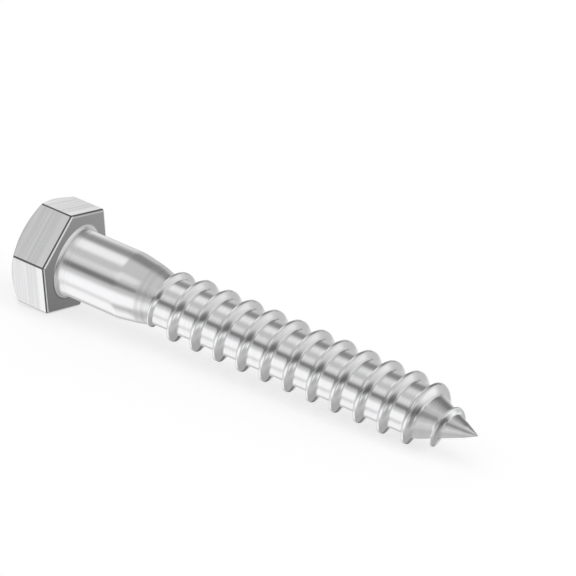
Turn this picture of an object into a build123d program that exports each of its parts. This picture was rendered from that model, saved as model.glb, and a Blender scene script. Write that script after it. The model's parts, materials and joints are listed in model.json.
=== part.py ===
from build123d import *
import math
import os

# Coach screw: hexagon head, plain shank, neck, and a wood thread that runs out onto a sharp point.
# Millimetres, +Z up. It is drawn with its axis along +X, then laid down as it comes to rest.
# The origin is the centre of the bearing face, the flat underside of the head.

# Thread
nominal_diameter = 9.525           # three eighths of an inch
thread_allowance = 0.14            # the crests' diameter is this much under the nominal one
pitch = 3.629                      # seven to the inch
core_diameter = 7.1                # the plain land between the ridges
hand = -1                          # -1 is left hand, as the photograph shows, and +1 right hand
flank_angle = 29.0                 # lower part of each flank, from a plane across the axis
upper_flank_angle = 36.0           # upper part, which leans in to round the crest off
upper_flank_height = 0.55          # measured down from the crest
crest_width = 0.43                 # across the flat top of a ridge
first_crest_past_shank = 4.83      # from the shank's end to the first crest that faces down

# How the ridge starts on the neck and ends on the point
run_in_turns = 1.5                 # turns from nothing to full height
run_in_before_first_crest = 0.7    # turns of these that lie before the first crest facing down
fade_turns = 0.62                  # turns from full height to nothing
fade_ends_before_point = 1.93      # from the ridge's last trace to the end of the point

# Shank, neck and point
length_under_head = 62.85
shank_allowance = 0.085            # the shank's diameter is this much under the nominal one
shank_length = 9.1
taper_length = 3.8                 # the neck's long slow taper
taper_end_diameter = 8.08
neck_step_length = 1.6             # its short steeper end, down to the core
head_fillet = 0.65                 # between the shank and the bearing face
point_half_angle = 23.0            # the long cone
tip_length = 1.75                  # the blunter cone at the very end
tip_half_angle = 28.5
tip_end_diameter = 0.16            # the very end, a little blunt

# Head
sides = 6
across_flats = 14.1
corner_height = 5.02               # from the bearing face to where the chamfer cuts a corner
end_face_inset = 0.70              # from the flats in to the round end face
chamfer_angle = 28.0               # from the end face
edge_round = 0.34                  # the hexagon's edges

# How the ridge is drawn
samples_per_turn = 16
tangent_step = 0.001               # part of a turn
least_scale = 0.15                 # size of the ridge's section where it is sunk out of sight
least_sink = 0.10                  # how far its crest lies under the surface there
root_overlap = 0.50                # how far the ridge's flanks run on into the core

# What follows from these
crest_radius = (nominal_diameter - thread_allowance) / 2
shank_radius = (nominal_diameter - shank_allowance) / 2
core_radius = core_diameter / 2
ridge_height = crest_radius - core_radius
flank_slope = math.tan(math.radians(flank_angle))
upper_flank_slope = math.tan(math.radians(upper_flank_angle))

taper_end = shank_length + taper_length
neck_end = taper_end + neck_step_length
tip_slope = math.tan(math.radians(tip_half_angle))
tip_start = length_under_head - tip_length
tip_apex = length_under_head + tip_end_diameter / 2 / tip_slope
tip_radius = (tip_apex - tip_start) * tip_slope
point_slope = math.tan(math.radians(point_half_angle))
point_start = tip_start - (core_radius - tip_radius) / point_slope

corner_radius = across_flats / 2 / math.cos(math.pi / sides)
end_face_radius = across_flats / 2 - end_face_inset
chamfer_slope = math.tan(math.radians(chamfer_angle))
chamfer_height = (corner_radius - end_face_radius) * chamfer_slope
head_height = corner_height + chamfer_height

first_crest = shank_length + first_crest_past_shank
first_turn = -run_in_before_first_crest
last_turn = (length_under_head - fade_ends_before_point - first_crest) / pitch
down = math.radians(-90)

# The screw lies on the rounded inner edge of one flat and on the last full crest that faces down.
last_full_crest = first_crest + pitch * math.floor((point_start - first_crest) / pitch)
lying_drop = across_flats / 2 - crest_radius
lying_dip = math.degrees(math.atan(lying_drop / (last_full_crest + edge_round)))


def surface_radius(x):
    """Radius of the core, and further on of the point, at a place along the axis."""
    long_cone = core_radius - (x - point_start) * point_slope
    tip_cone = (tip_apex - x) * tip_slope
    return min(core_radius, long_cone, tip_cone)


def ridge_share(turn):
    """How much of its full size the ridge has at a place along the thread, from 0 to 1."""
    run_in = (turn - first_turn) / run_in_turns
    fade = (last_turn - turn) / fade_turns
    return min(run_in, fade, 1.0)


def ridge_side(turn, side):
    """One side of the ridge's section, from crest to foot, as (place along the axis, radius)."""
    middle = first_crest + pitch * turn
    share = ridge_share(turn)
    grown = least_scale + (1 - least_scale) * share
    sink = (1 - share) * (least_scale * ridge_height + least_sink)
    taper = surface_radius(middle) / core_radius
    height = grown * ridge_height
    upper = grown * upper_flank_height
    lower = height - upper + root_overlap * taper

    # Each corner is given by how far it stands from the middle and above the surface under it.
    half_top = grown * taper * crest_width / 2
    bend = half_top + upper * upper_flank_slope
    root = bend + lower * flank_slope
    corners = [(half_top, height), (bend, height - upper), (root, height - upper - lower)]

    placed = []
    for away, above in corners:
        x = middle + side * away
        placed.append((x, surface_radius(x) + above - sink))
    return placed


def ridge_section(turn):
    """The ridge's section, from the foot on the head's side over the crest to the other foot."""
    head_side = ridge_side(turn, -1)
    point_side = ridge_side(turn, 1)
    return head_side[::-1] + point_side


def on_helix(turn, corner):
    """Point in space of one corner of the ridge's section."""
    x, radius = ridge_section(turn)[corner]
    angle = down + hand * 2 * math.pi * turn
    return Vector(x, radius * math.cos(angle), radius * math.sin(angle))


def corner_curve(corner, turns):
    """Helical curve of one corner over a stretch of thread, meeting the next stretch smoothly."""
    points = [on_helix(turn, corner) for turn in turns]
    tangents = []
    for turn in (turns[0], turns[-1]):
        step = on_helix(turn + tangent_step, corner) - on_helix(turn - tangent_step, corner)
        tangents.append(step / (2 * tangent_step))
    return Edge.make_spline(points, tangents=tangents, parameters=turns, scale=False)


def ridge():
    """The thread's ridge: ruled strips between the helical curves of its corners, and two end faces."""
    stretch_count = math.ceil(last_turn - first_turn)
    stretch = (last_turn - first_turn) / stretch_count
    corners = range(len(ridge_section(first_turn)))
    faces = []
    for i in range(stretch_count):
        begin = first_turn + stretch * i
        turns = [begin + stretch * j / samples_per_turn for j in range(samples_per_turn + 1)]
        curves = [corner_curve(corner, turns) for corner in corners]
        for corner in corners:
            faces.append(Face.make_surface_from_curves(curves[corner - 1], curves[corner]))
    for turn in (first_turn, first_turn + stretch * stretch_count):
        rim = Wire.make_polygon([on_helix(turn, corner) for corner in corners], close=True)
        faces.append(Face(rim))
    return Solid(Shell(faces))


def stem():
    """Shank with its fillet under the head, neck, core and point, turned about the axis."""
    inside_head = -head_height / 2
    fillet_rim = shank_radius + head_fillet
    fillet_middle = head_fillet * (1 - math.cos(math.radians(45)))
    outline = Polyline(
        (inside_head, 0),
        (inside_head, fillet_rim),
        (0, fillet_rim),
        (fillet_middle, shank_radius + fillet_middle),
        (head_fillet, shank_radius),
        (shank_length, shank_radius),
        (taper_end, taper_end_diameter / 2),
        (neck_end, core_radius),
        (point_start, core_radius),
        (tip_start, tip_radius),
        (length_under_head, tip_end_diameter / 2),
        (length_under_head, 0),
        close=True,
    )
    return revolve(Plane.XY * make_face(outline), Axis.X)


def head():
    """Hexagon with rounded edges, its bearing face at the origin, chamfered to a round end face."""
    prism = extrude(Plane.YZ * RegularPolygon(corner_radius, sides), -head_height)
    prism = fillet(prism.edges().filter_by(Axis.X), edge_round)
    bearing_rim = prism.faces().sort_by(Axis.X)[-1].edges()
    prism = fillet(bearing_rim, edge_round)
    reach = 2 * corner_radius
    outline = Polyline(
        (-head_height, 0),
        (-head_height, end_face_radius),
        (-head_height + (reach - end_face_radius) * chamfer_slope, reach),
        (reach, reach),
        (reach, 0),
        close=True,
    )
    blank = revolve(Plane.XY * make_face(outline), Axis.X)
    return prism & blank


def coach_screw():
    """The whole screw in one solid, tipped from its axis to the way it lies."""
    screw = head() + stem() + ridge()
    return Rot(0, lying_dip, 0) * screw


os.makedirs("parts", exist_ok=True)
export_step(coach_screw(), "parts/coach_screw.step")
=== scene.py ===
import json
import math

import bmesh
import bpy
from bpy.props import FloatProperty, FloatVectorProperty, IntProperty, PointerProperty
from mathutils import Matrix, Vector


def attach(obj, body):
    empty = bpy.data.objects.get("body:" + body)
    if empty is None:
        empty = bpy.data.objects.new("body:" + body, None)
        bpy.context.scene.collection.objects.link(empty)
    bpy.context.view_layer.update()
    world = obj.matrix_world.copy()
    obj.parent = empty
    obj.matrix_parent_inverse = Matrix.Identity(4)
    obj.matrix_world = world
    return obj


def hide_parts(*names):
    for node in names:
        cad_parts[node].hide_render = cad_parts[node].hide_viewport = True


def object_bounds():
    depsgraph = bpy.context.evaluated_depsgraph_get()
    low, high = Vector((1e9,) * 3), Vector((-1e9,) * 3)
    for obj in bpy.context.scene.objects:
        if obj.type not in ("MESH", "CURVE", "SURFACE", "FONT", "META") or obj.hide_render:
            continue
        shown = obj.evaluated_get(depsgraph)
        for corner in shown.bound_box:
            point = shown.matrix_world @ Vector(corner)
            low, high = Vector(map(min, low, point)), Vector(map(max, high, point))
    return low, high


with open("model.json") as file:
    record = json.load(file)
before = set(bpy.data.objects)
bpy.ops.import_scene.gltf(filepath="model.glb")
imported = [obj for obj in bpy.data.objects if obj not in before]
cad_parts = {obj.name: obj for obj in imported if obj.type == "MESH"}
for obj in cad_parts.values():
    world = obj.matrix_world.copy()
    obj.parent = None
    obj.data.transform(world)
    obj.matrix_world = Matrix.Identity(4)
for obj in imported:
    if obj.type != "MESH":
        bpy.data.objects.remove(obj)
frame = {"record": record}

bl_info = {
    "name": "Coach screw",
    "version": (1, 0, 0),
    "blender": (4, 5, 0),
    "location": "3D View > Sidebar > Coach screw",
    "description": "A coach screw in bright steel, with its thread, its finish and a studio",
    "category": "Object",
}

# Metres, in the same frame as the solid. The screw is made with its axis along +X and the centre
# of its bearing face at the origin, and is then tipped as the solid lies.

mm = 0.001
mounts = {mount["name"]: mount for mount in frame["record"]["mounts"]}
screw_axis = Vector(mounts["bearing_face"]["axis"]).normalized()
cad_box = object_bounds()
full_turn = math.radians(360)
quarter_turn = math.radians(90)
down = -quarter_turn               # where the turns of thread are counted from

# Head
sides = 6
half_side = math.radians(180 / sides)
border = 0.05 * mm                 # narrow ring beside a rounding, which keeps a flat face's shading even

# How finely the parts are drawn
corner_steps = 5                   # round each long edge of the head
flat_cuts = 10                     # along each flat
rim_steps = 4                      # round the bearing face's edge
edge_steps = 4                     # round the edges of the chamfer and the end face
fillet_steps = 8                   # under the head
shank_steps = 12                   # along the shank
section_steps = 4                  # round each corner of the ridge's section
section_cuts = 3                   # along each of its longer pieces
section_piece = 0.2 * mm           # the least length of such a piece
cone_steps = 8                     # along the blunter cone
ball_steps = 4                     # from there to the very tip
seam = 0.001 * mm                  # points nearer than this are the same point
fitted_seam = 0.0005 * mm          # the same, once the turns are fitted to the stem

# The tool's marks, as (name, number per mark spacing, share). They are drawn out into lines, since
# across the axis they change only at this share of the rate along it.
mark_kinds = (("Marks", 1.0, 0.006), ("Bands", 0.40, 0.010))
mark_detail = 3.0
mark_grain = 0.6
bands_from = 0.40                  # the band noise below this is unshaded
bands_to = 0.50                    # and above this is fully shaded
ridge_marks_from = 0.5 * mm        # from here on the distance from the axis counts too

# How strongly the steel is marked, as (place along the axis, share), from the head on. The share sets
# the marks' roughness, bumps and band tone. Its low stretch from -1.1 mm to -0.1 mm, beside the bearing
# face's edge, also paints a lighter band along the flats there: a painted highlight, as less band tone
# darkens the colour.
marks_from = -8 * mm
marks_to = 64 * mm
marks_and_painted_light_shares = (
    (-8 * mm, 1.0),
    (-1.5 * mm, 1.0),
    (-1.1 * mm, 0.30),
    (-0.1 * mm, 0.10),
    (0.15 * mm, 0.85),
    (0.90 * mm, 0.75),
    (2.20 * mm, 0.06),
    (8.9 * mm, 0.06),
    (9.2 * mm, 0.20),
    (11.95 * mm, 0.20),
    (12.05 * mm, 1.0),
    (14.0 * mm, 0.80),
    (15 * mm, 0.35),
    (64 * mm, 0.35),
)

# Where the painted shade lies: thin dark lines, painted into the steel's colour as a dark reflection,
# along the head's edges.
painted_shade_edges_radius = 8.056 * mm
painted_shade_rim_place = -0.22 * mm
painted_shade_rim_width = 0.22 * mm
painted_shade_rim_radius = 6.6 * mm

# The studio's light, where 1 is white
tent_light = 0.64                  # the tent itself, level with the floor
tent_rise = 0.02                   # how much lighter it is straight above
card_full = 0.5                    # a card is whole up to this part of its half width and height
card_gone = 1.5                    # and fades out up to this part

# The soft cards in the tent, each as (azimuth, elevation, half width, half height, tilt, light), in
# degrees but for the light. A later card covers an earlier one.
cards = (
    (-161, 1, 83, 10, 6, 0.23),
    (-50, 3, 27, 17, -33, 0.33),
    (5, -16, 38, 7, -19, 0.10),
    (34, -4, 9, 16, 9, 1.30),
    (67, -22, 28, 9, 22, 0.10),
    (99, 55, 27, 23, 4, 0.29),
    (60, 59, 47, 4, -44, 0.22),
    (88, -13, 7, 20, 32, 0.85),
    (174, -32, 27, 12, 10, 0.90),
    (-111, -38, 32, 20, -5, 1.18),
    (170, -61, 24, 13, 1, 1.15),
    (-173, 61, 17, 9, 1, 1.05),
    (-107, 33, 14, 11, 41, 0.90),
    (-8, -62, 46, 11, 3, 0.74),
    (123, 14, 5, 16, -8, 1.25),
    (1, 24, 41, 33, -22, 0.86),
    (69, -50, 31, 16, 41, 0.47),
    (59, -14, 22, 4, -11, 0.45),
    (67, 22, 14, 4, 46, 0.25),
    (-44, 31, 12, 5, -28, 0.40),
    (-18, -20, 14, 9, 0, 0.34),
    (100, -30, 11, 5, -6, 0.15),
    (12, -75, 22, 9, 5, 0.56),
    (17, -31, 7, 4, 0, 1.20),
)


def length(name, description, default):
    """A size in metres, shown with the scene's units."""
    return FloatProperty(
        name=name, description=description, default=default, min=0.0, unit="LENGTH", precision=5
    )


def angle(name, description, degrees):
    """An angle, kept in radians and shown in degrees."""
    return FloatProperty(
        name=name, description=description, default=math.radians(degrees), unit="ROTATION"
    )


def share(name, description, default):
    """A plain number from 0 to 1."""
    return FloatProperty(
        name=name, description=description, default=default, min=0.0, max=1.0, subtype="FACTOR"
    )


def turns(name, description, default):
    """A number of turns of the thread."""
    return FloatProperty(name=name, description=description, default=default)


class HeadSizes(bpy.types.PropertyGroup):
    """Sizes of the hexagon head"""

    across_flats: length("Across flats", "Width from one flat to the opposite one", 14.1 * mm)
    corner_height: length("Corner height", "From the bearing face to the chamfer at a corner", 5.02 * mm)
    end_inset: length("End face inset", "From the flats in to the round end face", 0.70 * mm)
    chamfer: angle("Chamfer", "Angle of the chamfer from the end face", 28.0)
    corner_round: length("Corner radius", "Radius of the six long edges", 0.34 * mm)
    rim_round: length("Rim radius", "Radius of the edge round the bearing face", 0.33 * mm)
    chamfer_round: length("Chamfer edge", "Width of the rounding between chamfer and flats", 0.13 * mm)
    end_round: length("End face edge", "Width of the rounding round the end face", 0.30 * mm)


class StemSizes(bpy.types.PropertyGroup):
    """Sizes of the shank, the neck and the point"""

    length_under_head: length("Length under head", "From the bearing face to the point", 62.85 * mm)
    shank_radius: length("Shank radius", "Radius of the plain shank", 4.72 * mm)
    shank_length: length("Shank length", "From the bearing face to the neck", 9.1 * mm)
    head_fillet: length("Head fillet", "Radius between the shank and the bearing face", 0.65 * mm)
    bend: length("Bend", "From the bearing face to where the taper grows a little steeper", 12.0 * mm)
    bend_radius: length("Bend radius", "Radius of the neck there", 4.26 * mm)
    taper_length: length("Taper length", "Length of the neck's taper", 3.8 * mm)
    taper_end_radius: length("Taper end radius", "Radius where the taper ends", 4.04 * mm)
    step_length: length("Step length", "Length of the steeper end of the neck", 1.6 * mm)
    core_radius: length("Core radius", "Radius of the plain land between the ridges", 3.55 * mm)
    crease: length("Crease", "How wide the corners of the neck and the point are rounded", 0.15 * mm)
    point_angle: angle("Point angle", "Half angle of the long cone", 23.0)
    tip_angle: angle("Tip angle", "Half angle of the blunter cone at the end", 28.5)
    tip_length: length("Tip length", "Length of the blunter cone", 1.75 * mm)
    tip_round: length("Tip radius", "Radius on the very end", 0.10 * mm)


class ThreadSizes(bpy.types.PropertyGroup):
    """Sizes of the thread's ridge"""

    pitch: length("Pitch", "From one crest to the next", 3.629 * mm)
    crest_radius: length("Crest radius", "Radius of the crests", 4.6925 * mm)
    crest_width: length("Crest width", "Across a ridge's top, before it is rounded", 0.46 * mm)
    crest_round: length("Crest rounding", "Radius of the two corners of a ridge's top", 0.18 * mm)
    foot_round: length("Foot rounding", "Radius where a flank runs into the core", 0.30 * mm)
    flank: angle("Flank", "Angle of each flank from a plane across the axis", 22.0)
    first_crest: length("First crest", "From the bearing face to the first crest facing down", 13.87 * mm)
    run_in_turns: turns("Run in", "Turns from nothing to full height", 1.5)
    run_in_before: turns("Run in before", "Turns of these before the first crest facing down", 0.7)
    fade_turns: turns("Fade", "Turns from full height to nothing", 0.62)
    last_turn: turns("Last turn", "Turns from the first crest to the end", 12.95)
    least_scale: share("Least scale", "Size of the ridge's section where it is sunk out of sight", 0.15)
    blend: length("Blend", "How softly the ridge grows out of the surface at its ends", 0.16 * mm)
    hand: IntProperty(
        name="Hand", description="-1 is left hand and 1 right hand", default=-1, min=-1, max=1
    )
    steps: IntProperty(name="Steps", description="Faces round the screw", default=96, min=24)


class SteelFinish(bpy.types.PropertyGroup):
    """Finish of the bright steel, and the painted shade along the head's edges"""

    colour: FloatVectorProperty(
        name="Colour",
        description="Colour of the bare steel",
        subtype="COLOR",
        size=3,
        default=(0.80, 0.80, 0.81),
    )
    roughness: share("Roughness", "Roughness of the smooth parts", 0.07)
    mark_roughness: share("Mark roughness", "How much rougher the turning marks are", 0.40)
    mark_spacing: length("Mark spacing", "Distance from one turning mark to the next", 0.24 * mm)
    mark_depth: length("Mark depth", "Depth of the turning marks", 0.0100 * mm)
    mark_shade: share("Mark shade", "How much darker the broader marks are", 0.09)
    # The painted shade along the head's edges: how much it darkens the steel's colour.
    painted_shade_amount: share("Edge shade", "How much darker the thin line along the head's edges is", 0.80)


def ramp(distance, width):
    """0 before a corner and the distance past it after, with the corner rounded over a width."""
    return (distance + math.hypot(distance, width)) / 2


def softer_max(a, b, width):
    """The larger of two heights, rounded where they are nearly the same."""
    if width <= 0:
        return max(a, b)
    near = max(width - abs(a - b), 0) / width
    return max(a, b) + near * near * width / 4


def point_start(stem):
    """Where the core ends and the long cone begins, from the bearing face."""
    tip_start = stem.length_under_head - stem.tip_length
    tip_radius = stem.tip_length * math.tan(stem.tip_angle)
    return tip_start - (stem.core_radius - tip_radius) / math.tan(stem.point_angle)


def surface_radius(stem, x):
    """Radius of the core, and further on of the point, at a place along the axis."""
    slope = math.tan(stem.point_angle)
    more_slope = math.tan(stem.tip_angle) - slope
    tip_start = stem.length_under_head - stem.tip_length
    past_start = ramp(x - point_start(stem), stem.crease)
    past_tip = ramp(x - tip_start, stem.tip_round)
    return stem.core_radius - slope * past_start - more_slope * past_tip


def stem_radius(stem, x):
    """Radius of the whole stem without its ridge: shank, neck, core and point."""
    taper_end = stem.shank_length + stem.taper_length
    corners = (
        (stem.shank_length, stem.shank_radius),
        (stem.bend, stem.bend_radius),
        (taper_end, stem.taper_end_radius),
        (taper_end + stem.step_length, stem.core_radius),
    )
    neck = stem.shank_radius - stem.core_radius
    slope = 0.0
    for (place, radius), (next_place, next_radius) in zip(corners, corners[1:]):
        next_slope = (radius - next_radius) / (next_place - place)
        neck -= (next_slope - slope) * ramp(x - place, stem.crease)
        slope = next_slope
    neck += slope * ramp(x - taper_end - stem.step_length, stem.crease)
    return surface_radius(stem, x) + neck


def ridge_share(thread, turn):
    """How much of its full size the ridge has at a place along the thread, from 0 to 1."""
    run_in = (turn + thread.run_in_before) / thread.run_in_turns
    fade = (thread.last_turn - turn) / thread.fade_turns
    return min(max(min(run_in, fade), 0.0), 1.0)


def flank_reach(thread):
    """How far a rounded corner of the ridge's section reaches along its sides, over its radius."""
    return math.tan((quarter_turn - thread.flank) / 2)


def half_foot(thread, stem):
    """Half the width of the ridge's foot, before its corners are rounded."""
    height = thread.crest_radius - stem.core_radius
    return thread.crest_width / 2 + height * math.tan(thread.flank)


def corner_radius(head):
    """From the axis to a corner of the hexagon, before it is rounded."""
    return head.across_flats / 2 / math.cos(half_side)


def round_corners(bm, corners, reach, segments):
    """Rounds corners of an outline, each over a reach along its two sides."""
    bmesh.ops.bevel(
        bm,
        geom=corners,
        offset=reach,
        segments=segments,
        profile=0.5,
        affect="VERTICES",
        material=-1,
        clamp_overlap=False,
    )


def wire(bm, points):
    """A chain of edges through points given as (place along the axis, radius)."""
    verts = [bm.verts.new((x, 0.0, -radius)) for x, radius in points]
    for pair in zip(verts, verts[1:]):
        bm.edges.new(pair)
    return verts


def pull_to_ring(verts, x, radius):
    """Moves vertices to one place along the axis and one radius, each at its own angle."""
    for v in verts:
        v.co = at_radius(v.co, x, radius)


def at_radius(place, x, radius):
    """The point at x and a radius, in the same direction from the axis as another point."""
    scale = radius / math.hypot(place.y, place.z)
    return Vector((x, place.y * scale, place.z * scale))


def next_ring(bm, edges):
    """Extrudes a ring of edges without moving it, and returns the new ring."""
    made = bmesh.ops.extrude_edge_only(bm, edges=edges)["geom"]
    verts = {g for g in made if isinstance(g, bmesh.types.BMVert)}
    return [g for g in made if isinstance(g, bmesh.types.BMEdge) and set(g.verts) <= verts]


def turned_ring(bm, edges, x, radius):
    """Extrudes a ring of edges to another place and radius, and returns the new ring."""
    ring = next_ring(bm, edges)
    pull_to_ring({v for e in ring for v in e.verts}, x, radius)
    return ring


def open_ring(bm, x):
    """The open edges that lie in the plane across the axis at x."""
    return [e for e in bm.edges if e.is_boundary and all(abs(v.co.x - x) < seam for v in e.verts)]


def one_turn(bm, thread, stem):
    """One turn of thread: a section one pitch long, its corners rounded, spun along the helix."""
    core = stem.core_radius
    crest = thread.crest_radius
    outline = [
        (-thread.pitch / 2, core),
        (-half_foot(thread, stem), core),
        (-thread.crest_width / 2, crest),
    ]
    outline += [(-x, radius) for x, radius in reversed(outline)]
    verts = wire(bm, outline)
    round_corners(bm, verts[2:4], thread.crest_round * flank_reach(thread), section_steps)
    round_corners(bm, [verts[1], verts[4]], thread.foot_round * flank_reach(thread), section_steps)
    straight = [e for e in bm.edges if e.calc_length() > section_piece]
    bmesh.ops.subdivide_edges(bm, edges=straight, cuts=section_cuts)
    bmesh.ops.spin(
        bm,
        geom=bm.verts[:] + bm.edges[:],
        cent=(0, 0, 0),
        axis=(1, 0, 0),
        dvec=(thread.pitch / thread.steps, 0, 0),
        angle=thread.hand * full_turn,
        steps=thread.steps,
        use_merge=False,
    )


def grow_ridge(bm, thread, stem, start, end):
    """Fits the turns of thread to the stem: they grow on the neck and fade out on the point."""
    height = thread.crest_radius - stem.core_radius
    half_pitch = thread.pitch / 2
    foot = half_foot(thread, stem) + thread.foot_round * flank_reach(thread)
    for v in bm.verts:
        direction = math.atan2(v.co.z, v.co.y)
        above = math.hypot(v.co.y, v.co.z) - stem.core_radius
        part = (direction - down) / (thread.hand * full_turn)
        along = (v.co.x - thread.first_crest) / thread.pitch

        # The place on the thread that the point belongs to, and how far it is from the ridge's middle
        turn = part + round(along - part)
        away = (along - turn) * thread.pitch
        middle = thread.first_crest + thread.pitch * turn

        # A smaller ridge is lower, narrower and sunk, and the lands beside it take up its width.
        size = ridge_share(thread, turn)
        grown = thread.least_scale + (1 - thread.least_scale) * size
        sink = (1 - size) * (thread.least_scale * height + thread.blend)
        narrow = grown * surface_radius(stem, middle) / stem.core_radius
        if abs(away) <= foot:
            placed = away * narrow
        else:
            land = (abs(away) - foot) / (half_pitch - foot)
            placed = math.copysign(foot * narrow + land * (half_pitch - foot * narrow), away)
        x = min(max(middle + placed, start), end)
        ridge = surface_radius(stem, x) + above * grown - sink
        radius = softer_max(stem_radius(stem, x), ridge, thread.blend * (1 - size))
        v.co = (x, radius * math.cos(direction), radius * math.sin(direction))


def threaded_stem(bm, thread, stem):
    """The neck, the core and the point with their ridge, as one skin with an open ring at each end."""
    start = stem.shank_length - 2 * stem.crease
    end = stem.length_under_head - stem.tip_length
    one_turn(bm, thread, stem)
    turn = bm.verts[:] + bm.edges[:] + bm.faces[:]
    first = math.floor((start - thread.first_crest) / thread.pitch) - 1
    last = math.ceil((end - thread.first_crest) / thread.pitch) + 1
    for number in range(first + 1, last):
        copy = bmesh.ops.duplicate(bm, geom=turn)["geom"]
        verts = [g for g in copy if isinstance(g, bmesh.types.BMVert)]
        bmesh.ops.translate(bm, verts=verts, vec=((number - first) * thread.pitch, 0, 0))
    bmesh.ops.translate(bm, verts=bm.verts, vec=(thread.first_crest + first * thread.pitch, 0, 0))
    bmesh.ops.remove_doubles(bm, verts=bm.verts, dist=seam)
    grow_ridge(bm, thread, stem, start, end)
    bmesh.ops.remove_doubles(bm, verts=bm.verts, dist=fitted_seam)
    return start, end


def close_point(bm, stem, start):
    """The blunter cone at the end, closed by its small round tip."""
    ring = open_ring(bm, start)
    cone_radius = surface_radius(stem, start)
    ball_middle = stem.length_under_head - stem.tip_round
    ball_start = ball_middle + stem.tip_round * math.sin(stem.tip_angle)
    ball_radius = stem.tip_round * math.cos(stem.tip_angle)
    for i in range(1, cone_steps + 1):
        x = start + (ball_start - start) * i / cone_steps
        ring = turned_ring(bm, ring, x, cone_radius + (ball_radius - cone_radius) * i / cone_steps)
    for i in range(1, ball_steps):
        turn = stem.tip_angle + (quarter_turn - stem.tip_angle) * i / ball_steps
        x = ball_middle + stem.tip_round * math.sin(turn)
        ring = turned_ring(bm, ring, x, stem.tip_round * math.cos(turn))
    bmesh.ops.contextual_create(bm, geom=ring)


def plain_shank(bm, stem, start):
    """The shank, its fillet and the bearing face round it, from the threaded skin back to the head."""
    ring = open_ring(bm, start)
    fillet = stem.head_fillet
    rim = stem.shank_radius + fillet
    for i in range(1, shank_steps):
        x = start + (fillet - start) * i / shank_steps
        ring = turned_ring(bm, ring, x, stem_radius(stem, x))
    ring = turned_ring(bm, ring, fillet, stem.shank_radius)
    for i in range(1, fillet_steps + 1):
        turn = quarter_turn * i / fillet_steps
        x = fillet - fillet * math.sin(turn)
        ring = turned_ring(bm, ring, x, rim - fillet * math.cos(turn))
    ring = turned_ring(bm, ring, 0.0, rim + border)
    return turned_ring(bm, ring, 0.0, rim + fillet)


def hexagon_outline(bm, head):
    """The hexagon with rounded corners. Each point keeps its place and its direction outward."""
    radius = corner_radius(head)
    across = Matrix.Rotation(quarter_turn, 4, "Y")
    corners = bmesh.ops.create_circle(bm, segments=sides, radius=radius, matrix=across)["verts"]
    round_corners(bm, corners, head.corner_round * math.tan(half_side), corner_steps)
    flats = [e for e in bm.edges if e.is_wire and e.calc_length() > radius / 2]
    bmesh.ops.subdivide_edges(bm, edges=flats, cuts=flat_cuts)
    outline = [e for e in bm.edges if e.is_wire]
    at = bm.verts.layers.float_vector.new("at")
    outward = bm.verts.layers.float_vector.new("outward")
    for v in {v for e in outline for v in e.verts}:
        before, after = [(e.other_vert(v).co - v.co).normalized() for e in v.link_edges]
        normal = (after - before).cross(Vector((1, 0, 0))).normalized()
        v[at] = v.co
        v[outward] = normal if normal.dot(v.co) > 0 else -normal
    return outline, at, outward


def hexagon_head(bm, head):
    """The head with rounded edges and a chamfered round end face. Returns its open bearing ring."""
    outline, at, outward = hexagon_outline(bm, head)
    end_radius = head.across_flats / 2 - head.end_inset
    slope = math.tan(head.chamfer)
    end = -head.corner_height - (corner_radius(head) - end_radius) * slope
    down_chamfer = Vector((-math.sin(head.chamfer), -math.cos(head.chamfer)))

    def inset_ring(edges, x, inset):
        """A ring at x that runs inside the hexagon's outline."""
        ring = next_ring(bm, edges)
        for v in {v for e in ring for v in e.verts}:
            v.co = v[at] - v[outward] * inset
            v.co.x = x
        return ring

    def eased_ring(edges, middle_of, before, after, part):
        """A ring part of the way round a corner that lies at middle_of, between two tangents."""
        ring = next_ring(bm, edges)
        for v in {v for e in ring for v in e.verts}:
            corner = middle_of(v)
            place = corner + before * (1 - part) ** 2 + after * part**2
            v.co = at_radius(v[at], place.x, place.y)
        return ring

    def chamfer_edge(v):
        """Where the chamfer cuts the outline, as (place along the axis, radius)."""
        radius = math.hypot(v[at].y, v[at].z)
        return Vector((end + (radius - end_radius) * slope, radius))

    def end_rim(v):
        """Where the chamfer meets the end face."""
        return Vector((end, end_radius))

    rim = inset_ring(outline, 0.0, head.rim_round)
    bmesh.ops.delete(bm, geom=list({v for e in outline for v in e.verts}), context="VERTS")
    bearing = next_ring(bm, rim)
    for v in {v for e in bearing for v in e.verts}:
        v.co = at_radius(v.co, 0.0, math.hypot(v.co.y, v.co.z) - border)
    ring = rim
    for i in range(1, rim_steps + 1):
        turn = quarter_turn * (1 - i / rim_steps)
        x = head.rim_round * (math.sin(turn) - 1)
        ring = inset_ring(ring, x, head.rim_round * (1 - math.cos(turn)))
    along = Vector((1, 0)) * head.chamfer_round
    for i in range(edge_steps + 1):
        ring = eased_ring(ring, chamfer_edge, along, down_chamfer * head.chamfer_round, i / edge_steps)
    inward = Vector((0, -1)) * head.end_round
    for i in range(edge_steps + 1):
        ring = eased_ring(ring, end_rim, -down_chamfer * head.end_round, inward, i / edge_steps)
    ring = turned_ring(bm, ring, end, end_radius / 2)
    bmesh.ops.contextual_create(bm, geom=ring)
    return bearing


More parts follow.
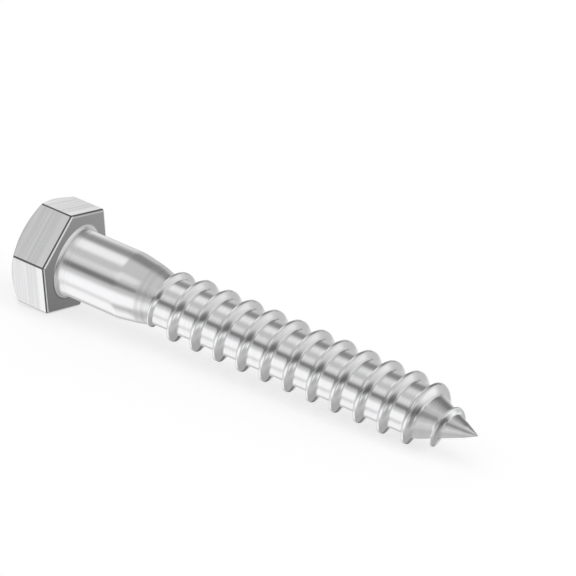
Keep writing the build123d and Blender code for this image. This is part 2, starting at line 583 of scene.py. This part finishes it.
class OBJECT_OT_coach_screw_body(bpy.types.Operator):
    """Make the screw: head, shank, neck, thread and point in one skin"""

    bl_idname = "object.coach_screw_body"
    bl_label = "Make the screw"

    def execute(self, context):
        scene = context.scene
        head = scene.screw_head
        stem = scene.screw_stem
        thread = scene.screw_thread
        bm = bmesh.new()
        start, end = threaded_stem(bm, thread, stem)
        close_point(bm, stem, end)
        shank_ring = plain_shank(bm, stem, start)
        bearing_ring = hexagon_head(bm, head)
        bmesh.ops.bridge_loops(bm, edges=shank_ring + bearing_ring)
        bmesh.ops.recalc_face_normals(bm, faces=bm.faces)
        turn = Vector((1, 0, 0)).rotation_difference(screw_axis).to_matrix()
        bmesh.ops.rotate(bm, cent=(0, 0, 0), matrix=turn, verts=bm.verts)
        for face in bm.faces:
            face.smooth = True
        open_edges = [e for e in bm.edges if not e.is_manifold]
        if open_edges:
            raise RuntimeError(f"the screw's skin has {len(open_edges)} open edges")
        mesh = bpy.data.meshes.new("coach_screw_body")
        bm.to_mesh(mesh)
        bm.free()
        screw = bpy.data.objects.new("coach_screw_body", mesh)
        scene.collection.objects.link(screw)
        mesh.materials.append(bright_steel(scene.screw_steel))
        screw.modifiers.new("even_shading", "WEIGHTED_NORMAL")
        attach(screw, "root")
        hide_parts("coach_screw")
        screw.visible_glossy = False
        return {"FINISHED"}


def turning_marks():
    """Node group for the marks that a tool leaves: fine lines, and broader bands of them.

    The lines lie across the vector's X.
    """
    group = bpy.data.node_groups.new("turning_marks", "ShaderNodeTree")
    group.interface.new_socket("Vector", in_out="INPUT", socket_type="NodeSocketVector")
    group.interface.new_socket("Marks per metre", in_out="INPUT", socket_type="NodeSocketFloat")
    group.interface.new_socket("Marks", in_out="OUTPUT", socket_type="NodeSocketFloat")
    group.interface.new_socket("Bands", in_out="OUTPUT", socket_type="NodeSocketFloat")
    nodes = group.nodes
    links = group.links
    given = nodes.new("NodeGroupInput")
    result = nodes.new("NodeGroupOutput")
    for socket, per_mark, stretch in mark_kinds:
        scaled = nodes.new("ShaderNodeVectorMath")
        scaled.operation = "MULTIPLY"
        scaled.inputs[1].default_value = (per_mark, stretch * per_mark, stretch * per_mark)
        links.new(given.outputs["Vector"], scaled.inputs[0])
        noise = nodes.new("ShaderNodeTexNoise")
        noise.inputs["Detail"].default_value = mark_detail
        noise.inputs["Roughness"].default_value = mark_grain
        links.new(scaled.outputs[0], noise.inputs["Vector"])
        links.new(given.outputs["Marks per metre"], noise.inputs["Scale"])
        links.new(noise.outputs["Fac"], result.inputs[socket])
    return group


def math_node(nodes, links, operation, *values):
    """A math node, with each value given as a number or as a socket."""
    node = nodes.new("ShaderNodeMath")
    node.operation = operation
    for socket, value in zip(node.inputs, values):
        if isinstance(value, bpy.types.NodeSocket):
            links.new(value, socket)
        else:
            socket.default_value = value
    return node.outputs[0]


def marks_and_painted_light_at(nodes, links, along):
    """How strongly each part of the screw is marked, by its place along the axis, with the painted
    highlight along the flats beside the bearing face's edge.
    """
    place = nodes.new("ShaderNodeMapRange")
    place.inputs["From Min"].default_value = marks_from
    place.inputs["From Max"].default_value = marks_to
    links.new(along, place.inputs["Value"])
    node = nodes.new("ShaderNodeValToRGB")

    # A new ramp has two stops already.
    for i, (x, value) in enumerate(marks_and_painted_light_shares):
        at = (x - marks_from) / (marks_to - marks_from)
        stop = node.color_ramp.elements[i] if i < 2 else node.color_ramp.elements.new(at)
        stop.position = at
        stop.color = grey(value)
    links.new(place.outputs["Result"], node.inputs["Fac"])
    return node.outputs["Color"]


def bright_steel(finish):
    """Bright steel: a smooth shank, and turning marks on the head's flats, the neck and the thread, with
    painted shade along the head's edges.
    """
    material = bpy.data.materials.new("bright_steel")
    material.use_nodes = True
    nodes = material.node_tree.nodes
    links = material.node_tree.links
    shader = nodes["Principled BSDF"]
    shader.inputs["Metallic"].default_value = 1.0

    place = nodes.new("ShaderNodeTexCoord")
    along_axis = nodes.new("ShaderNodeMapping")
    along_axis.vector_type = "POINT"
    level = screw_axis.rotation_difference(Vector((1, 0, 0))).to_euler()
    along_axis.inputs["Rotation"].default_value = level
    links.new(place.outputs["Object"], along_axis.inputs["Vector"])
    parts = nodes.new("ShaderNodeSeparateXYZ")
    links.new(along_axis.outputs["Vector"], parts.inputs["Vector"])

    # The marks go round the axis. Past the head, the distance from the axis is added to the place
    # along it, so that on the flanks they run nearly along the ridge.
    across = math_node(nodes, links, "POWER", parts.outputs["Y"], 2.0)
    upward = math_node(nodes, links, "POWER", parts.outputs["Z"], 2.0)
    radius = math_node(nodes, links, "SQRT", math_node(nodes, links, "ADD", across, upward))
    past_head = math_node(nodes, links, "GREATER_THAN", parts.outputs["X"], ridge_marks_from)
    outward = math_node(nodes, links, "MULTIPLY", radius, past_head)
    path = math_node(nodes, links, "ADD", parts.outputs["X"], outward)
    vector = nodes.new("ShaderNodeCombineXYZ")
    links.new(path, vector.inputs["X"])
    links.new(parts.outputs["Y"], vector.inputs["Y"])
    links.new(parts.outputs["Z"], vector.inputs["Z"])

    marks = nodes.new("ShaderNodeGroup")
    marks.node_tree = turning_marks()
    marks.inputs["Marks per metre"].default_value = 1 / finish.mark_spacing
    links.new(vector.outputs["Vector"], marks.inputs["Vector"])
    # The share of marks. Through the band tone it also paints the lighter band, a painted highlight,
    # beside the bearing face's edge.
    strength = marks_and_painted_light_at(nodes, links, parts.outputs["X"])
    fine = math_node(nodes, links, "MULTIPLY", marks.outputs["Marks"], strength)
    rough = math_node(nodes, links, "MULTIPLY_ADD", fine, finish.mark_roughness, finish.roughness)
    links.new(rough, shader.inputs["Roughness"])

    # Painted shade: a thin dark line, painted into the colour as a dark reflection, runs along the head's
    # long edges and round the edge of its bearing face.
    painted_shade_on_edges = math_node(nodes, links, "GREATER_THAN", radius, painted_shade_edges_radius)
    painted_shade_on_rim = math_node(nodes, links, "COMPARE", parts.outputs["X"], painted_shade_rim_place, painted_shade_rim_width / 2)
    painted_shade_outer = math_node(nodes, links, "GREATER_THAN", radius, painted_shade_rim_radius)
    painted_shade_on_rim = math_node(nodes, links, "MULTIPLY", painted_shade_on_rim, painted_shade_outer)
    painted_shade_lines = math_node(nodes, links, "MAXIMUM", painted_shade_on_edges, painted_shade_on_rim)

    tint = nodes.new("ShaderNodeMix")
    tint.data_type = "RGBA"
    tint.inputs["A"].default_value = (*finish.colour, 1.0)
    tint.inputs["B"].default_value = grey(0.0)
    shade = nodes.new("ShaderNodeMapRange")
    shade.inputs["From Min"].default_value = bands_from
    shade.inputs["From Max"].default_value = bands_to
    links.new(marks.outputs["Bands"], shade.inputs["Value"])
    # Band tone, which near the bearing face's edge also carries the painted highlight along the flats.
    shaded = math_node(nodes, links, "MULTIPLY", shade.outputs["Result"], strength)
    shaded = math_node(nodes, links, "MULTIPLY", shaded, finish.mark_shade)
    # Painted shade: how much the thin dark lines along the head's edges darken the colour.
    painted_shade_part = math_node(nodes, links, "MULTIPLY", painted_shade_lines, finish.painted_shade_amount)
    links.new(math_node(nodes, links, "MAXIMUM", shaded, painted_shade_part), tint.inputs["Factor"])
    links.new(tint.outputs["Result"], shader.inputs["Base Color"])

    bump = nodes.new("ShaderNodeBump")
    bump.inputs["Distance"].default_value = finish.mark_depth
    links.new(fine, bump.inputs["Height"])
    links.new(bump.outputs["Normal"], shader.inputs["Normal"])
    return material


class StudioSettings(bpy.types.PropertyGroup):
    """Camera, floor and light"""

    lens: FloatProperty(
        name="Lens", description="Focal length in millimetres", default=227.85, unit="CAMERA"
    )
    camera_place: FloatVectorProperty(
        name="Camera",
        description="Where the camera stands",
        unit="LENGTH",
        default=(0.2333, -0.4106, 0.1362),
    )
    camera_right: FloatVectorProperty(
        name="Camera right",
        description="Direction to the picture's right",
        default=(0.8486, 0.4838, 0.2140),
    )
    camera_up: FloatVectorProperty(
        name="Camera up",
        description="Direction to the picture's top",
        default=(-0.3164, 0.1401, 0.9382),
    )
    nearest: length("Nearest", "How near to the camera things are still drawn", 10 * mm)
    floor_size: length("Floor size", "Width of the floor", 1.6)
    floor_grey: share("Floor grey", "Grey of the floor's paint", 0.80)
    floor_roughness: share("Floor roughness", "Roughness of the floor", 0.90)
    floor_glow: share("Floor glow", "Glow that the camera sees, so that the floor reads as white", 0.50)


def grey(value):
    """A grey, as a colour with alpha."""
    return (value, value, value, 1.0)


def soft_card():
    """Node group for one soft-edged card in the studio, light or dark, seen in a direction.

    Turn brings the card's middle to +X. Half width and Half height are in radians, to the middle of
    the card's soft edge.
    """
    group = bpy.data.node_groups.new("soft_card", "ShaderNodeTree")
    group.interface.new_socket("Direction", in_out="INPUT", socket_type="NodeSocketVector")
    group.interface.new_socket("Turn", in_out="INPUT", socket_type="NodeSocketVector")
    group.interface.new_socket("Half width", in_out="INPUT", socket_type="NodeSocketFloat")
    group.interface.new_socket("Half height", in_out="INPUT", socket_type="NodeSocketFloat")
    group.interface.new_socket("Light", in_out="INPUT", socket_type="NodeSocketFloat")
    group.interface.new_socket("Behind", in_out="INPUT", socket_type="NodeSocketFloat")
    group.interface.new_socket("Light", in_out="OUTPUT", socket_type="NodeSocketFloat")
    nodes = group.nodes
    links = group.links
    given = nodes.new("NodeGroupInput")
    result = nodes.new("NodeGroupOutput")

    turned = nodes.new("ShaderNodeMapping")
    links.new(given.outputs["Direction"], turned.inputs["Vector"])
    links.new(given.outputs["Turn"], turned.inputs["Rotation"])
    parts = nodes.new("ShaderNodeSeparateXYZ")
    links.new(turned.outputs["Vector"], parts.inputs["Vector"])
    across = math_node(nodes, links, "ARCTAN2", parts.outputs["Y"], parts.outputs["X"])
    upward = math_node(nodes, links, "ARCSINE", parts.outputs["Z"])
    across = math_node(nodes, links, "DIVIDE", across, given.outputs["Half width"])
    upward = math_node(nodes, links, "DIVIDE", upward, given.outputs["Half height"])
    across = math_node(nodes, links, "MULTIPLY", across, across)
    upward = math_node(nodes, links, "MULTIPLY", upward, upward)
    away = math_node(nodes, links, "SQRT", math_node(nodes, links, "ADD", across, upward))

    covered = nodes.new("ShaderNodeMapRange")
    covered.interpolation_type = "SMOOTHSTEP"
    covered.inputs["From Min"].default_value = card_full
    covered.inputs["From Max"].default_value = card_gone
    covered.inputs["To Min"].default_value = 1.0
    covered.inputs["To Max"].default_value = 0.0
    links.new(away, covered.inputs["Value"])
    mix = nodes.new("ShaderNodeMix")
    links.new(covered.outputs["Result"], mix.inputs["Factor"])
    links.new(given.outputs["Behind"], mix.inputs["A"])
    links.new(given.outputs["Light"], mix.inputs["B"])
    links.new(mix.outputs["Result"], result.inputs["Light"])
    return group


def card_turn(azimuth, elevation, tilt):
    """The turn that brings a card's middle to +X and its width to +Y."""
    lean = Matrix.Rotation(math.radians(-tilt), 3, "X")
    rise = Matrix.Rotation(math.radians(elevation), 3, "Y")
    round_up = Matrix.Rotation(math.radians(-azimuth), 3, "Z")
    return (lean @ rise @ round_up).to_euler()


def light_tent(scene):
    """A pale tent of light with soft cards in it, which the bright steel mirrors."""
    world = bpy.data.worlds.new("light_tent")
    scene.world = world
    world.use_nodes = True
    nodes = world.node_tree.nodes
    links = world.node_tree.links
    background = nodes["Background"]
    place = nodes.new("ShaderNodeTexCoord")
    parts = nodes.new("ShaderNodeSeparateXYZ")
    links.new(place.outputs["Generated"], parts.inputs["Vector"])
    tent = math_node(nodes, links, "MULTIPLY_ADD", parts.outputs["Z"], tent_rise, tent_light)

    card = soft_card()
    for azimuth, elevation, half_width, half_height, tilt, light in cards:
        node = nodes.new("ShaderNodeGroup")
        node.node_tree = card
        node.inputs["Turn"].default_value = card_turn(azimuth, elevation, tilt)
        node.inputs["Half width"].default_value = math.radians(half_width)
        node.inputs["Half height"].default_value = math.radians(half_height)
        node.inputs["Light"].default_value = light
        links.new(place.outputs["Generated"], node.inputs["Direction"])
        links.new(tent, node.inputs["Behind"])
        tent = node.outputs["Light"]

    # The camera sees plain white. The steel mirrors the tent and its cards.
    seen = nodes.new("ShaderNodeLightPath")
    shown = nodes.new("ShaderNodeMix")
    shown.inputs["B"].default_value = 1.0
    links.new(seen.outputs["Is Camera Ray"], shown.inputs["Factor"])
    links.new(tent, shown.inputs["A"])
    links.new(shown.outputs["Result"], background.inputs["Color"])


def floor_material(studio):
    """A white floor that keeps the object's shadow and reads as white to the camera."""
    material = bpy.data.materials.new("white_floor")
    material.use_nodes = True
    nodes = material.node_tree.nodes
    links = material.node_tree.links
    shader = nodes["Principled BSDF"]
    shader.inputs["Base Color"].default_value = grey(studio.floor_grey)
    shader.inputs["Roughness"].default_value = studio.floor_roughness
    shader.inputs["Specular IOR Level"].default_value = 0.0
    shader.inputs["Emission Color"].default_value = grey(1.0)
    seen = nodes.new("ShaderNodeLightPath")
    glow = math_node(nodes, links, "MULTIPLY", seen.outputs["Is Camera Ray"], studio.floor_glow)
    links.new(glow, shader.inputs["Emission Strength"])
    return material


class SCENE_OT_coach_screw_stage(bpy.types.Operator):
    """Make the floor, the light and the camera"""

    bl_idname = "scene.coach_screw_stage"
    bl_label = "Make the studio"

    def execute(self, context):
        scene = context.scene
        studio = scene.screw_studio
        bm = bmesh.new()
        bmesh.ops.create_grid(bm, x_segments=1, y_segments=1, size=studio.floor_size / 2)
        bmesh.ops.translate(bm, verts=bm.verts, vec=(0, 0, cad_box[0].z))
        mesh = bpy.data.meshes.new("floor")
        bm.to_mesh(mesh)
        bm.free()
        floor = bpy.data.objects.new("floor", mesh)
        scene.collection.objects.link(floor)
        mesh.materials.append(floor_material(studio))
        floor.visible_glossy = False

        light_tent(scene)

        camera = bpy.data.objects.new("camera", bpy.data.cameras.new("camera"))
        scene.collection.objects.link(camera)
        camera.data.lens = studio.lens
        camera.data.clip_start = studio.nearest
        right = Vector(studio.camera_right).normalized()
        up = Vector(studio.camera_up)
        up = (up - right * up.dot(right)).normalized()
        turn = Matrix((right, up, right.cross(up))).transposed()
        camera.matrix_world = Matrix.Translation(studio.camera_place) @ turn.to_4x4()
        scene.camera = camera
        scene.view_settings.view_transform = "Standard"
        return {"FINISHED"}


class VIEW3D_PT_coach_screw(bpy.types.Panel):
    """Sizes, finish and studio of the coach screw"""

    bl_label = "Coach screw"
    bl_space_type = "VIEW_3D"
    bl_region_type = "UI"
    bl_category = "Coach screw"

    def draw(self, context):
        scene = context.scene
        for title, group in (
            ("Head", scene.screw_head),
            ("Stem", scene.screw_stem),
            ("Thread", scene.screw_thread),
            ("Steel", scene.screw_steel),
        ):
            self.draw_group(title, group)
        self.layout.operator(OBJECT_OT_coach_screw_body.bl_idname)
        self.draw_group("Studio", scene.screw_studio)
        self.layout.operator(SCENE_OT_coach_screw_stage.bl_idname)

    def draw_group(self, title, group):
        column = self.layout.column(align=True)
        column.label(text=title)
        for name in group.__annotations__:
            column.prop(group, name)


groups = {
    "screw_head": HeadSizes,
    "screw_stem": StemSizes,
    "screw_thread": ThreadSizes,
    "screw_steel": SteelFinish,
    "screw_studio": StudioSettings,
}
classes = (
    *groups.values(),
    OBJECT_OT_coach_screw_body,
    SCENE_OT_coach_screw_stage,
    VIEW3D_PT_coach_screw,
)


def register():
    for made in classes:
        bpy.utils.register_class(made)
    for name, group in groups.items():
        setattr(bpy.types.Scene, name, PointerProperty(type=group))


def unregister():
    for name in groups:
        delattr(bpy.types.Scene, name)
    for made in reversed(classes):
        bpy.utils.unregister_class(made)


def main():
    register()
    bpy.ops.object.coach_screw_body()
    bpy.ops.scene.coach_screw_stage()


if __name__ == "__main__":
    main()
